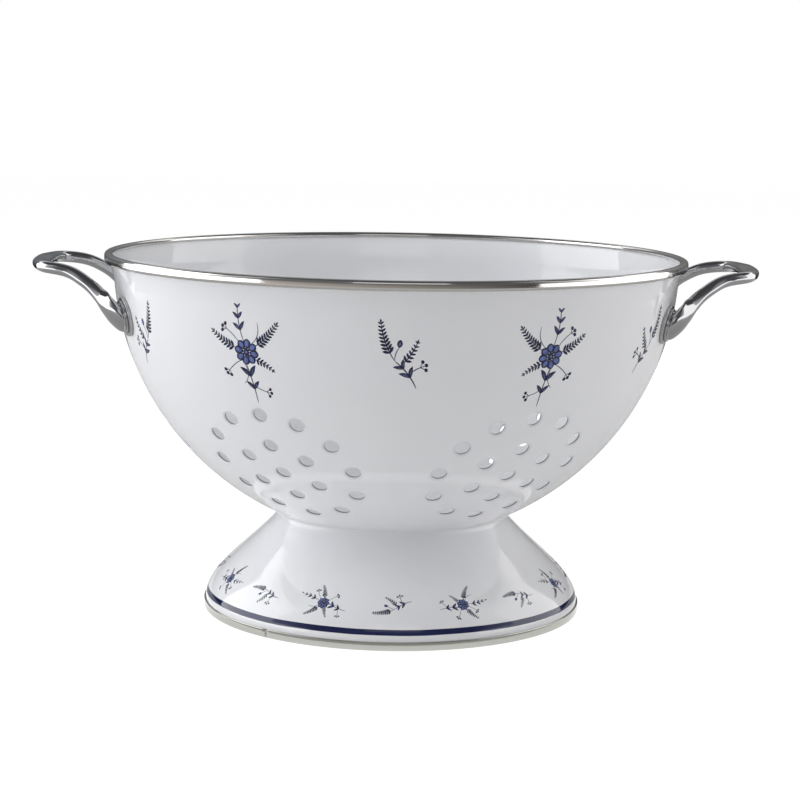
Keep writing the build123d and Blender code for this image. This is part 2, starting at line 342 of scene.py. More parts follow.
# %% Lips, edge and the bowl itself
def lip_rows(radius, lip, share, turn):
    """One ring of points a hole on a quarter ellipse, and the normals there.

    The reach from the axis is the hole's radius plus the lip's width times one minus the sine of
    the ellipse's angle; the height leaves the sphere by the lip's depth times one minus its cosine.
    Turn is 1 on the outer skin and -1 on the inner one.
    """
    angle = share * math.pi / 2
    width, depth = lip[0] * lip_scale, lip[1] * lip_scale
    reach = hole_radii + width * (1 - math.sin(angle))
    level = np.sqrt(radius**2 - reach**2)
    height = level - turn * depth * (1 - math.cos(angle))
    run = -width * math.cos(angle)
    fall = -reach / level * run - turn * depth * math.sin(angle)
    slope = unit(np.stack([turn * fall, -turn * run], -1))
    return hole_ring(reach, height), hole_ring(slope[:, 0], slope[:, 1])


outer_shares, inner_shares = [0.2, 0.4, 0.6, 0.8, 1.0], [1.0, 0.7, 0.35]
lips = [lip_rows(bowl_radius, outer_lip, share, 1) for share in outer_shares]
lips += [lip_rows(inner_radius, inner_lip, share, -1) for share in inner_shares]
lip_points, lip_normals = (np.concatenate(part).reshape(-1, 3) for part in zip(*lips))

band_width, band_height, band_sheet, edge_fit = 3.9 * mm, 4.3 * mm, 0.6 * mm, 0.1 * mm
band_inner, band_bottom = band_radius - band_width, rim_top - band_height
inset = band_sheet + edge_fit
edge_outer, edge_inner = band_radius - inset, band_inner + inset
edge_top, edge_bottom = rim_top - inset, band_bottom + inset
neck_lean = math.radians(20)


def flare(radius, end, rows=9):
    """Cubic from the end of a sphere to the neck, tangent to both, as radius and height."""
    start, end = radius * edge_way + (0, centre_height), np.array(end)
    third = np.linalg.norm(end - start) / 3
    leave, arrive = (third * np.array([math.sin(a), math.cos(a)]) for a in (flare_drop, neck_lean))
    return bezier([start, start + leave, end - arrive, end], np.linspace(0, 1, rows)[:, None])


def strip_faces(rows):
    """Quads between neighbouring rows of point numbers, whose last axis closes on itself."""
    here, after = rows[:-1], rows[1:]
    quads = [here, np.roll(here, -1, -1), np.roll(after, -1, -1), after]
    return np.stack(quads, -1).reshape(-1, 4)


def rows_between(first, start, count, width):
    """Point numbers of a row of the outer skin, of new rows, and of that row of the inner skin."""
    starts = [first, *(start + np.arange(count) * width), first + skin_size]
    return np.array(starts)[:, None] + np.arange(width)


outer_flare = flare(bowl_radius, (edge_inner + sheet, edge_bottom))
inner_flare = flare(inner_radius, (edge_inner, edge_bottom + sheet))
soft = 0.5 * mm
rolled_edge = [
    *((edge_outer - soft, edge_bottom), (edge_outer, edge_bottom + soft)),
    *((edge_outer, edge_top - soft), (edge_outer - soft, edge_top)),
    *((edge_inner + soft, edge_top), (edge_inner, edge_top - soft)),
]
edge_profile = np.concatenate([outer_flare, rolled_edge, inner_flare[::-1]])
edge_points = turned(edge_profile[1:-1], edge_columns) - bowl_centre
edge_normals = turned(square_to(edge_profile)[1:-1], edge_columns)

skin_size = len(outer_skin)
lip_start, edge_start = 2 * skin_size, 2 * skin_size + len(lip_points)
ring_rows = rows_between(len(fill), lip_start, len(lips), ring_points)
ring_rows = ring_rows.reshape(-1, len(hole_axes), ring_steps)
edge_rows = rows_between(
    len(fill) + ring_points, edge_start, len(edge_profile) - 2, edge_columns
)
bowl_points = np.concatenate([outer_skin, inner_skin, lip_points, edge_points]) + bowl_centre
radial = [outer_skin / bowl_radius, -inner_skin / inner_radius]
# Share along each hole's lip. The enamel uses it for the thin coat and for painted shade in the
# holes.
lip_amount = np.zeros(len(bowl_points))
lip_amount[lip_start:edge_start] = np.repeat(outer_shares + inner_shares, ring_points)
bowl = add_piece(
    "bowl_enamel",
    bowl_points,
    [triangles[:, ::-1], triangles + skin_size, strip_faces(ring_rows), strip_faces(edge_rows)],
    replaced=["bowl"],
    values={"lip": lip_amount},
    normals=np.concatenate([*radial, lip_normals, edge_normals]),
)

# %% [markdown]
# ## Foot
# The foot is a skirt of the same sheet. Its outline is a cubic Bezier curve outside and the same
# curve one sheet further in. Where it meets the bowl the enamel has run into the corner and left a
# small hollow fillet, which is why the joint shows as a soft bright line and not as a gap.

# %% Foot
foot_band_radius = foot_band_high.x
foot_edge_radius = foot_band_radius - 0.7 * mm
foot_band_height, foot_top_radius, foot_columns = 3.8 * mm, 52.0 * mm, 240


def under_bowl(radius, depth):
    """Radius and height of a point below the wall, on the ray through the wall at this radius."""
    reach = 1 + depth / bowl_radius
    return np.array([radius * reach, centre_height - math.sqrt(bowl_radius**2 - radius**2) * reach])


def skirt(top, bottom):
    """Curve of the skirt from its bend down to the band, and the way in which it starts.

    Its two middle points are set by shares of the run outwards and of the drop.
    """
    run_share, upper_share, lower_share = 0.38, 0.40, 0.70
    run, drop = bottom[0] - top[0], top[1] - bottom[1]
    upper = np.array([top[0] + run_share * run, top[1] - upper_share * drop])
    lower = np.array([bottom[0], top[1] - lower_share * drop])
    points = [top, upper, lower, np.array(bottom)]
    return bezier(points, np.linspace(0, 1, 41)[:, None]), upper - top


skirt_top = under_bowl(foot_top_radius, 0)
outer_skirt, way = skirt(skirt_top, (foot_edge_radius, foot_band_height))
inward = unit(np.array([way[1], -way[0]])) * sheet
inner_skirt, _ = skirt(skirt_top + inward, (foot_edge_radius - sheet, foot_band_height))
fillet_reach = 1.7 * mm
below = outer_skirt[:, 1] < outer_skirt[0, 1] - fillet_reach
corner = under_bowl(foot_top_radius + 0.25 * mm, 0.1 * mm)
fillet_end = under_bowl(foot_top_radius + fillet_reach, -0.02 * mm)
fillet = bezier([outer_skirt[below][0], corner, fillet_end], np.linspace(0, 1, 9)[1:, None])
flange_radii = (53.0, 50.0, 47.0, 44.3, 44.0, 44.0, 46.0, 48.0)
flange_depths = [-0.3 * mm] * 4 + [0.0] + [sheet] * 3
flange = [under_bowl(radius * mm, depth) for radius, depth in zip(flange_radii, flange_depths)]
bend = 0.5 * (under_bowl(50.5 * mm, sheet) + inner_skirt[2])
foot_bottom = foot_band_height - 3.1 * mm
foot_ends = [[(radius, foot_bottom)] for radius in (foot_edge_radius, foot_edge_radius - sheet)]
foot_outline = np.concatenate(
    [foot_ends[0], outer_skirt[below][::-1], fillet, flange, [bend], inner_skirt[3:], foot_ends[1]]
)
foot = turned_piece("foot_enamel", foot_outline, foot_columns, "foot")

# %% [markdown]
# ## Bands
# The bands are strips of stainless sheet rolled round the open edges. In section each is a channel:
# the rim band opens downwards, where the wall's neck comes in, and the band of the foot opens
# upwards. The foot's band is not a full ring. Its ends nearly meet in a butt joint at the front
# left, so its grid stays open there and each end gets a face of its own.

# %% Rim band and foot band
throat, lip_height = edge_inner + sheet + edge_fit, rim_top - 2.3 * mm
channel_inner, channel_outer = band_inner + band_sheet, band_radius - band_sheet
channel_bottom, channel_top = band_bottom + band_sheet, rim_top - band_sheet
rim_corners = [
    *((band_radius, band_bottom), (band_radius, rim_top), (band_inner, rim_top)),
    *((band_inner, lip_height), (channel_inner, lip_height), (channel_inner, channel_top)),
    *((channel_outer, channel_top), (channel_outer, channel_bottom)),
    *((throat, channel_bottom), (throat, band_bottom)),
]
rim_radii = [1.4, 1.4, 1.4, 0.25, 0.2, 0.5, 0.5, 0.3, 0.2, 0.25]
rim_outline = rounded_outline(rim_corners, rim_radii, 7)
turned_piece("rim_band_steel", rim_outline, 288, "rim_band", start=math.pi / 2)

foot_inner = foot_band_radius - (sheet + 2 * edge_fit + 2 * band_sheet)
slot_outer, slot_inner = foot_band_radius - band_sheet, foot_inner + band_sheet
foot_corners = [
    *((foot_band_radius, 0), (foot_band_radius, foot_band_height)),
    *((slot_outer, foot_band_height), (slot_outer, band_sheet)),
    *((slot_inner, band_sheet), (slot_inner, foot_band_height)),
    *((foot_inner, foot_band_height), (foot_inner, 0)),
]
foot_band_outline = rounded_outline(foot_corners, [0.45, 0.3, 0.2, 0.1, 0.1, 0.2, 0.3, 0.45])
joint_gap, joint_start = 0.3 * mm / foot_band_radius, math.radians(230.3)
band_columns = 289
band_faces, band_uv = outline_grid(foot_band_outline, band_columns, close_columns=False)
band_end = np.arange(len(foot_band_outline))[None] * band_columns
add_piece(
    "foot_band_steel",
    turned(foot_band_outline, band_columns, joint_start, math.tau - joint_gap),
    [band_faces, band_end, band_end[:, ::-1] + band_columns - 1],
    replaced=["foot_band"],
    uv=band_uv,
)

# %% [markdown]
# ## Handles
# Each handle is one casting: a round boss on a thin flange, a neck that narrows quickly into a leg,
# and a flat crossbar at the height of the rim. A sweep gives this shape well. A smooth cubic curve
# runs through seven points of half the bail, and the section changes from a circle to a flat oval
# along it. The other half is the mirror image, so the two legs match.

# %% Path and sections of the bail
def natural_way(points, first, last):
    """Derivatives of a cubic spline through points, clamped to a direction at either end.

    The parameter is the chord length, and the second derivative is continuous at every point.
    """
    chord = np.linalg.norm(np.diff(points, axis=0), axis=1)
    count = len(points)
    left, right = np.zeros((count, count)), np.zeros((count, 3))
    left[0, 0], right[0] = 1, first
    left[-1, -1], right[-1] = 1, last
    k = np.arange(1, count - 1)
    before, after = chord[k - 1], chord[k]
    left[k, k - 1], left[k, k], left[k, k + 1] = after, 2 * (before + after), before
    step_before = (points[k] - points[k - 1]) / before[:, None] * after[:, None]
    step_after = (points[k + 1] - points[k]) / after[:, None] * before[:, None]
    right[k] = 3 * (step_before + step_after)
    return walked(points), np.linalg.solve(left, right)


def hermite(knots, values, slopes, at):
    """Cubic Hermite interpolation, and its derivative, of values and slopes at the knots."""
    k = np.clip(np.searchsorted(knots, at, side="right") - 1, 0, len(knots) - 2)
    width = (knots[k + 1] - knots[k])[:, None]
    t = (at - knots[k])[:, None] / width
    a, b = values[k], values[k + 1]
    u, v = slopes[k] * width, slopes[k + 1] * width
    point = (2 * t**3 - 3 * t**2 + 1) * a + (t**3 - 2 * t**2 + t) * u
    point = point + (3 * t**2 - 2 * t**3) * b + (t**3 - t**2) * v
    slope = (6 * t**2 - 6 * t) * (a - b) + (3 * t**2 - 4 * t + 1) * u + (3 * t**2 - 2 * t) * v
    return point, slope / width


def even_slopes(knots, values):
    """Slopes that let a curve through the values rise and fall only where they do."""
    steps = np.diff(values, axis=0) / np.diff(knots)[:, None]
    slopes = np.zeros_like(values)
    same = steps[:-1] * steps[1:] > 0
    total = steps[:-1] + steps[1:]
    slopes[1:-1] = np.where(same, 2 * steps[:-1] * steps[1:] / np.where(same, total, 1), 0)
    return slopes


seat_thickness, flange_thickness = 1.3 * mm, 1.0 * mm
rear_axis = boss_axes[1]
root = bowl_centre + rear_axis * (bowl_radius + seat_thickness + flange_thickness / 2)
half_span, turn_radius, bar_bow = 32.0 * mm, 14.0 * mm, 0.8 * mm
bar_x, bar_height = band_radius + 26.8 * mm, rim_top - 4.9 * mm
swing = turn_radius * math.sin(math.radians(45))
leg_shares = np.array([(0, 0, 0), (0.28, 0.40, 0.39), (0.46, 0.70, 0.68)])
legs = root + leg_shares * (np.array([bar_x, half_span, bar_height]) - root)
turn_x, turn_y = bar_x - turn_radius, half_span - turn_radius
bend_flat = np.array([(turn_x, half_span), (turn_x + swing, turn_y + swing), (bar_x, turn_y)])
bend_rise = np.array([0.86, 0.94, 0.97])[:, None]
bends = np.hstack([bend_flat, root[2] + bend_rise * (bar_height - root[2])])
bail = np.concatenate([legs, bends, [(bar_x + bar_bow, 0, bar_height)]])
bail_knots, bail_slopes = natural_way(bail, rear_axis, np.array([0.0, -1.0, 0.0]))
fine = np.linspace(0, bail_knots[-1], 2001)
fine_length = walked(hermite(bail_knots, bail, bail_slopes, fine)[0])
half_length = fine_length[-1]
print("half of the bail is", round(half_length / mm, 1), "mm long")

# %% [markdown]
# The section is a superellipse: a circle at the boss, thinner along the leg and a flat oval in the
# crossbar. Its width, height and power are given at nine stations of half the bail. It stays square
# to the screw at first and leans over to the path bit by bit, so neighbouring rows never cross, and
# a small lift of the first rows gives the boss its shoulder.

# %% Sections and sweep
stations = np.array([0, 0.04, 0.09, 0.14, 0.20, 0.32, 0.62, 0.85, 1.0])
widths = [12.6, 13.8, 13.2, 10.4, 7.4, 6.3, 6.2, 8.4, 8.4]
heights = [12.6, 14.2, 13.2, 9.8, 6.6, 5.4, 5.3, 4.3, 4.3]
powers = [2.0, 2.0, 2.0, 2.0, 2.1, 2.2, 2.3, 2.6, 2.6]
station_sizes = np.stack([widths, heights, powers], -1)
bail_rows, section_steps = 110, 56
first_share = 1.1 * mm / half_length
row_shares = first_share + (1 - first_share) * np.linspace(0, 1, bail_rows)
row_at = np.interp(row_shares * half_length, fine_length, fine)
row_centre, row_way = hermite(bail_knots, bail, bail_slopes, row_at)
lean_share = 0.33
lean = np.clip(row_shares / lean_share, 0, 1)[:, None]
row_way = unit(rear_axis + (unit(row_way) - rear_axis) * lean * lean * (3 - 2 * lean))
station_slopes = even_slopes(stations, station_sizes)
row_sizes = hermite(stations, station_sizes, station_slopes, row_shares)[0]
shoulder_lift, shoulder_share = 1.5 * mm, 0.10
shoulder = (row_shares - first_share) / shoulder_share
row_centre[:, 2] += shoulder_lift * shoulder * np.exp(1 - shoulder)

flange_heights = np.array([-0.5, -0.42, -0.25, 0.25, 0.42, 0.5, 0.53, 0.6, 0.75, 0.95]) * mm
flange_reaches = np.array([7.15, 7.33, 7.4, 7.4, 7.33, 7.15, 6.85, 6.55, 6.38, 6.3])
flange_powers = np.full(len(flange_reaches), 2.0)
flange_sizes = np.stack([2 * flange_reaches, 2 * flange_reaches, flange_powers], -1)
half_centre = np.concatenate([root + flange_heights[:, None] * rear_axis, row_centre])
half_way = np.concatenate([np.tile(rear_axis, (len(flange_reaches), 1)), row_way])
half_sizes = np.concatenate([flange_sizes, row_sizes])
mirror_y = np.array([1.0, -1.0, 1.0])
bail_centre = np.concatenate([half_centre, half_centre[-2::-1] * mirror_y])
bail_way = np.concatenate([half_way, -half_way[-2::-1] * mirror_y])
bail_sizes = np.concatenate([half_sizes, half_sizes[-2::-1]])


def swept(centres, ways, sizes, steps):
    """Superellipses carried along a path, square to it, with their width kept level.

    Across and up are the level unit vector square to the way and the one square to both. A point
    is half the width times cosine to the power 2/n across, and half the height times sine to the
    power 2/n up, with the signs of the cosine and sine.
    """
    across = unit(np.cross([0.0, 0.0, 1.0], ways))
    up = np.cross(ways, across)
    wave = around(1.0, np.arange(steps) * math.tau / steps, 0.0)[None, :, :2]
    reach = np.sign(wave) * np.abs(wave) ** (2 / sizes[:, None, 2:]) * sizes[:, None, :2] / 2 * mm
    points = centres[:, None] + reach[..., :1] * across[:, None] + reach[..., 1:] * up[:, None]
    return points.reshape(-1, 3)


handle_points = swept(bail_centre, bail_way, bail_sizes, section_steps)
handle_rows = len(bail_centre)
handle_faces, handle_uv = grid_faces(handle_rows, section_steps, along=walked(bail_centre))
first_ring = np.arange(section_steps)[None]
last_ring = first_ring + (handle_rows - 1) * section_steps
for side, turn in (("right", 1), ("left", -1)):
    add_piece(
        f"handle_{side}_cast",
        handle_points * (turn, turn, 1.0),
        [handle_faces, first_ring[:, ::-1], last_ring],
        replaced=[f"handle_{side}"],
        uv=handle_uv,
    )

# %% [markdown]
# ## Seats and washers
# Under each boss lies a turned steel seat, flat on top and hollowed below to fit the round wall.
# Inside the bowl a washer, crowned to the same curve, lies under the head of each screw. Both are
# outlines turned about the boss axis, with one side following the sphere.

# %% Seats and washers
def dome(radius, reach):
    """Heights on a sphere about the bowl's centre at these reaches from the axis."""
    return np.stack([reach, np.sqrt(radius**2 - reach**2)], -1)


seat_radius, seat_round, washer_radius, washer_round = 8.8 * mm, 0.4 * mm, 6.0 * mm, 0.2 * mm
seat_top, washer_low = bowl_radius + seat_thickness, inner_radius - 1.0 * mm
seat_under = dome(bowl_radius, np.linspace(bore, seat_radius - 0.05 * mm, 9))
quarter = around(1.0, np.linspace(0, math.pi / 2, 6), 0.0)[:, :2]
seat_edge = np.array([seat_radius, seat_top]) - seat_round * (1 - quarter)
seat_outline = np.concatenate([seat_under, seat_edge, [(bore, seat_top)]])
washer_edge = [
    *((bore, washer_low), (washer_radius - washer_round, washer_low)),
    (washer_radius - 0.3 * washer_round, washer_low + 0.3 * washer_round),
    (washer_radius, washer_low + washer_round),
]
washer_top = dome(inner_radius, np.linspace(washer_radius, bore, 7))
washer_outline = np.concatenate([washer_edge, washer_top])
turned_kinds = [("handle_seat", seat_outline, "seat_steel")]
turned_kinds += [("screw_washer", washer_outline, "fastener_steel")]
for (side, end), axes in zip(boss_places, hole_frames[len(drain_axes) :]):
    for kind, outline, slot in turned_kinds:
        node = f"{kind}_{side}_{end}"
        turned_piece(f"{node}_turned", outline, 64, node, axes=axes, origin=bowl_centre)

# %% [markdown]
# ## Painted flowers
# The decoration is cobalt painted on the white coat and fired, so each brush stroke is a thin, very
# slightly raised pad of glass. Every stroke here has the same form: a middle line that is a simple
# curve of three points, and a width that swells and fades along it. A leaf, a petal, a berry and a
# stem differ only in their numbers, so all the strokes of a motif are rows of one table and are
# shaped at once. The motifs are made for this lesson: a daisy with ferns and berries, and a fern
# sprig.

# %% Strokes and motifs
brush_spread, brush_tip = 1.25, 0.05


def strokes(x, y, angle, length, half, bend=0.0, blunt=0.9, skew=1.0, tone=0.8, lift=0.0):
    """Table of strokes in millimetres: three points, half width, its blunt and skew, tone, lift.

    The middle point is half way along and bend lengths to the left. The brush spreads each half
    width by a factor and adds the width of its tip. Values may be arrays.
    """
    parts = (x, y, np.radians(angle), length, half, bend, blunt, skew, tone, lift)
    parts = (np.ravel(part) for part in np.broadcast_arrays(*parts))
    x, y, angle, length, half, bend, blunt, skew, tone, lift = parts
    half = brush_spread * half + brush_tip
    run, climb = np.cos(angle) * length, np.sin(angle) * length
    middle = [x + run / 2 - climb * bend, y + climb / 2 + run * bend]
    return np.stack([x, y, *middle, x + run, y + climb, half, blunt, skew, tone, lift], -1)


def along_stroke(stroke, shares):
    """Points on a stroke's middle line at these shares, and the angle of its way in degrees."""
    a, b, c = stroke[0:2], stroke[2:4], stroke[4:6]
    t = np.asarray(shares, float)[:, None]
    way = bezier([b - a, c - b], t)
    return bezier([a, b, c], t), np.degrees(np.arctan2(way[:, 1], way[:, 0]))


def turned_motif(motif, x=0.0, y=0.0, angle=0.0, scale=1.0, mirrored=False):
    """The same strokes scaled, mirrored left to right if asked, turned and moved."""
    new = motif.copy()
    flip = -1.0 if mirrored else 1.0
    turn, tilt = math.cos(math.radians(angle)), math.sin(math.radians(angle))
    across, up = new[:, 0:6:2] * scale * flip, new[:, 1:6:2] * scale
    new[:, 0:6:2] = x + across * turn - up * tilt
    new[:, 1:6:2] = y + across * tilt + up * turn
    new[:, 6] *= scale
    return new


def fern(length, pairs, leaf, bend=0.12):
    """A fern: a thin stem upwards, with pairs of small leaves that shorten towards its tip."""
    stem = strokes(0, 0, 90, length, 0.20, bend=bend, blunt=0.25, tone=0.85)
    share = np.linspace(0.22, 0.97, pairs)
    point, way = along_stroke(stem[0], share)
    size = leaf * (1.05 - 0.6 * share)
    leaves = [
        strokes(*point.T, way + side * 52, size, 0.17 * size, -side * 0.12, tone=0.95)
        for side in (-1, 1)
    ]
    tip = strokes(*along_stroke(stem[0], [1.0])[0][0], way[-1], leaf * 0.5, 0.09 * leaf, tone=0.95)
    return np.concatenate([stem, *leaves, tip])


def berries(x, y, angle, reach, size=0.85):
    """Three round berries on one thin stalk that forks near its end."""
    stalk = strokes(x, y, angle, reach, 0.16, bend=0.15, blunt=0.25, tone=0.8)
    (end,), (way,) = along_stroke(stalk[0], [0.82])
    twigs = strokes(end[0], end[1], way + np.array([-48.0, 0.0, 48.0]), 2.6, 0.13, blunt=0.3)
    fruit = strokes(
        twigs[:, 4] - size * np.cos(np.radians(way)),
        twigs[:, 5] - size * np.sin(np.radians(way)),
        way,
        2 * size,
        size,
        blunt=0.5,
        tone=0.95,
        lift=0.02,
    )
    return np.concatenate([stalk, twigs, fruit])


def daisy(petals, reach, half):
    """A flower: dark petals with a pale wash laid on each, round a dark eye with a pale heart."""
    turn = np.arange(petals) * 360 / petals + 11
    x, y = np.cos(np.radians(turn)) * reach * 0.2, np.sin(np.radians(turn)) * reach * 0.2
    dark = strokes(x, y, turn, reach * 0.82, half, blunt=0.6, skew=1.45, tone=0.95, lift=0.02)
    wash = strokes(
        x * 1.7, y * 1.7, turn, reach * 0.58, half * 0.62, blunt=0.6, skew=1.3, tone=0.25, lift=0.05
    )
    vein = strokes(x * 1.6, y * 1.6, turn, reach * 0.34, half * 0.11, tone=0.85, lift=0.075)
    eye = strokes(-reach * 0.24, 0, 0, reach * 0.48, reach * 0.24, blunt=0.5, tone=1.0, lift=0.08)
    heart = strokes(-reach * 0.11, 0, 0, reach * 0.22, reach * 0.11, blunt=0.5, tone=0.3, lift=0.1)
    return np.concatenate([dark, wash, vein, eye, heart])


def leaf_pairs(stem, shares, length, half):
    """Pairs of slender leaves on both sides of a stem, each with a pale midrib."""
    point, way = along_stroke(stem, shares)
    (x, y), length, half = point.T, np.array(length), np.array(half)
    rows = []
    for side in (-1, 1):
        angle, bend = way + side * 38, -side * 0.16
        rib_x, rib_y = (f(np.radians(angle)) * length * 0.2 for f in (np.cos, np.sin))
        rib = (x + rib_x, y + rib_y, angle - side * 4, length * 0.5, half * 0.16, bend)
        rows.append(strokes(x, y, angle, length, half, bend, tone=0.8, lift=0.01))
        rows.append(strokes(*rib, tone=0.3, lift=0.06))
    return np.concatenate(rows)


def posy():
    """The large motif: a daisy on a bowed stem with leaves, ferns, berries and tendrils."""
    low = strokes(-1.5, -27, 82, 24, 0.24, bend=0.08, blunt=0.22, tone=0.85)
    high = strokes(0.5, 4, 84, 22, 0.20, bend=-0.10, blunt=0.22, tone=0.85)
    rows = [
        low,
        high,
        leaf_pairs(low[0], [0.30, 0.58], [6.0, 7.4], [0.85, 1.05]),
        leaf_pairs(high[0], [0.30, 0.56, 0.80], [5.6, 4.6, 3.4], [0.8, 0.7, 0.5]),
        strokes(high[0, 4], high[0, 5], 78, 3.6, 0.5, tone=0.9),
        turned_motif(fern(19, 9, 4.2), -3.0, 2.0, 50),
        turned_motif(fern(17, 8, 4.0), 3.2, 1.0, -62, mirrored=True),
        turned_motif(fern(12, 6, 3.2), -2.6, -3.0, 118, mirrored=True),
        berries(2.5, -4.0, -38, 13),
        berries(3.2, 4.0, 42, 12),
        berries(-0.5, -16.5, 205, 10, 0.75),
        strokes(-3, 4, 112, 12, 0.15, bend=0.35, blunt=0.3, tone=0.75),
        strokes(2, -6, -80, 11, 0.15, bend=-0.38, blunt=0.3, tone=0.75),
        daisy(8, 6.6, 1.75),
    ]
    return np.concatenate(rows)


def sprig():
    """The small motif: two ferns and a bud that leave one short stem."""
    stem = strokes(3.5, -15, 112, 15, 0.22, bend=-0.14, blunt=0.22, tone=0.85)
    top = stem[0, 4:6]
    rows = [
        stem,
        leaf_pairs(stem[0], [0.34, 0.66], [5.4, 4.6], [0.75, 0.65]),
        turned_motif(fern(17, 9, 3.6), *top, 6),
        turned_motif(fern(12, 6, 3.0), *along_stroke(stem[0], [0.8])[0][0], -48, mirrored=True),
        strokes(*top, 58, 6.5, 0.13, bend=0.2, blunt=0.3, tone=0.8),
        strokes(top[0] + 3.0, top[1] + 5.2, 66, 3.4, 1.0, blunt=0.6, tone=0.9),
        strokes(top[0] + 3.3, top[1] + 5.8, 66, 1.8, 0.35, blunt=0.6, tone=0.3, lift=0.04),
        berries(*along_stroke(stem[0], [0.45])[0][0], 18, 7, 0.7),
    ]
    return np.concatenate(rows)


posy_rows, sprig_rows = posy(), sprig()
print("strokes:", len(posy_rows), "a posy,", len(sprig_rows), "a sprig")

# %% [markdown]
# A flat design has to lie on a round wall without stretching much. On the bowl each point keeps its
# distance and direction from the motif's middle, measured along the sphere. On the foot the height
# of the design is walked along the skirt's outline and its width goes round the skirt.

# %% Strokes laid on the wall and on the foot
section_across = np.array([-1.0, -0.72, 0.0, 0.72, 1.0, 0.0])
section_high = np.array([-0.04, 0.045, 0.06, 0.045, -0.04, -0.10])


def flat_strokes(table, steps):
    """Points of all strokes as across, up and height, in millimetres: strokes, steps, section.

    The half width is the sine of pi times the share to the power skew, to the power blunt.
    """
    share = (1 - np.cos(np.linspace(0, math.pi, steps))) / 2
    a, b, c = (table[:, None, k : k + 2] for k in (0, 2, 4))
    middle = bezier([a, b, c], share[None, :, None])
    way = unit(bezier([b - a, c - b], share[None, :, None]))
    left = np.stack([-way[..., 1], way[..., 0]], -1)
    swell = np.sin(math.pi * share[None, :] ** table[:, 8:9]) ** table[:, 7:8]
    half = (table[:, 6:7] * np.maximum(swell, 0.04))[..., None]
    flat = middle[:, :, None] - left[:, :, None] * (half * section_across)[..., None]
    high = section_high * np.minimum(1, 0.35 + half) + table[:, 10][:, None, None]
    return np.concatenate([flat, high[..., None]], -1)


def on_bowl(flat, azimuth, height):
    """Exponential map of the sphere about a point of the wall: distance and direction are kept."""
    drop = math.asin((centre_height - height) / bowl_radius)
    middle, right = lean_from(azimuth, drop, 0.0, 0.0), around(1.0, azimuth + math.pi / 2, 0.0)
    across, high = flat[..., 0:1] * mm, flat[..., 1:2] * mm
    reach = np.maximum(np.hypot(across, high), 1e-9)
    sideways = (across * right + high * np.cross(middle, right)) / reach
    direction = np.cos(reach / bowl_radius) * middle + np.sin(reach / bowl_radius) * sideways
    return bowl_centre + direction * (bowl_radius + flat[..., 2:3] * mm)


skirt_lengths = walked(outer_skirt)
skirt_columns = np.hstack([outer_skirt, -square_to(outer_skirt)]).T


def on_foot(flat, azimuth, height):
    """Up the design is a walk up the skirt's outline, across it is an arc at the radius there."""
    across, up, above = np.moveaxis(flat * mm, -1, 0)
    walk = np.interp(-height, -outer_skirt[:, 1], skirt_lengths) - up
    radius, level, out, lift = (np.interp(walk, skirt_lengths, column) for column in skirt_columns)
    return around(radius + out * above, azimuth + across / radius, level + lift * above)


def paint(name, lay, spots, steps):
    """One mesh of all the strokes of the placed motifs, with the tone of each kept on its points.

    Paint pools at the sides of a stroke, so its tone grows there with the square of the way across.
    """
    points = np.concatenate([lay(flat_strokes(rows, steps), *spot) for rows, *spot in spots])
    tone = np.concatenate([rows[:, 9] for rows, *_ in spots])
    count, _, sides = points.shape[:3]
    base = np.arange(count)[:, None, None] * steps * sides
    faces, _ = grid_faces(steps, sides)
    first = np.arange(sides)
    last = first + (steps - 1) * sides
    groups = [(faces + base).reshape(-1, 4), first[::-1] + base[:, 0], last + base[:, 0]]
    pooled = tone[:, None, None] * (0.87 + 0.0875 * section_across**2)
    values = {"tone": np.broadcast_to(pooled, (count, steps, sides)).ravel()}
    return add_piece(name, points.reshape(-1, 3), groups, values=values)


posy_height, sprig_height = centre_height - 30.8 * mm, centre_height - 30 * mm
foot_height = 17.5 * mm
bowl_spots, foot_spots = [], []
for index in range(6):
    azimuth, flipped = math.radians(index * 60 - 60), index % 2 == 1
    upright = turned_motif(posy_rows, scale=0.86, mirrored=flipped)
    leaning = turned_motif(sprig_rows, angle=-14 if flipped else 14, mirrored=flipped)
    bowl_spots.append((upright, azimuth, posy_height))
    bowl_spots.append((leaning, azimuth - math.radians(30), sprig_height))
for index in range(8):
    azimuth, flipped = math.radians(index * 45 - 90), index % 2 == 1
    lying = turned_motif(sprig_rows, angle=96, scale=0.55, mirrored=flipped)
    small = turned_motif(posy_rows, angle=78 if flipped else -78, scale=0.42)
    foot_spots.append((lying, azimuth, foot_height))
    foot_spots.append((small, azimuth + math.radians(22.5), foot_height))
bowl_paint = paint("bowl_flowers", on_bowl, bowl_spots, steps=13)
foot_paint = paint("foot_flowers", on_foot, foot_spots, steps=10)

# %% [markdown]
# ## Materials
# Two surfaces are never quite even: glass enamel keeps a faint orange peel from the kiln, and
# cast or rolled metal keeps lines and waves from its making. Both effects serve several materials,
# so each is a node group that puts out heights and masks, and the shaders stay in the materials.

# %% Node helpers and shared groups
def place(tree, kind, inputs=None, **settings):
    """Add a node, change its settings, and set or link its inputs by name or number."""
    node = tree.nodes.new(kind)
    for key, value in settings.items():
        setattr(node, key, value)
    for key, value in (inputs or {}).items():
        if isinstance(value, bpy.types.NodeSocket):
            tree.links.new(value, node.inputs[key])
        else:
            node.inputs[key].default_value = value
    return node


def math_of(tree, operation, a, b=0.5, c=0.5, clamp=False):
    """Output of a Math node."""
    node = place(tree, "ShaderNodeMath", {0: a, 1: b, 2: c}, operation=operation, use_clamp=clamp)
    return node.outputs[0]


def remap(tree, value, low, high, to_low=0.0, to_high=1.0):
    """Output of a Map Range node, clamped to its ends."""
    inputs = {"Value": value, 1: low, 2: high, 3: to_low, 4: to_high}
    return place(tree, "ShaderNodeMapRange", inputs).outputs[0]


def blend_colours(tree, share, first, second):
    """Colour between two colours by a share."""
    node = place(tree, "ShaderNodeMix", {0: share, 6: first, 7: second}, data_type="RGBA")
    return node.outputs[2]


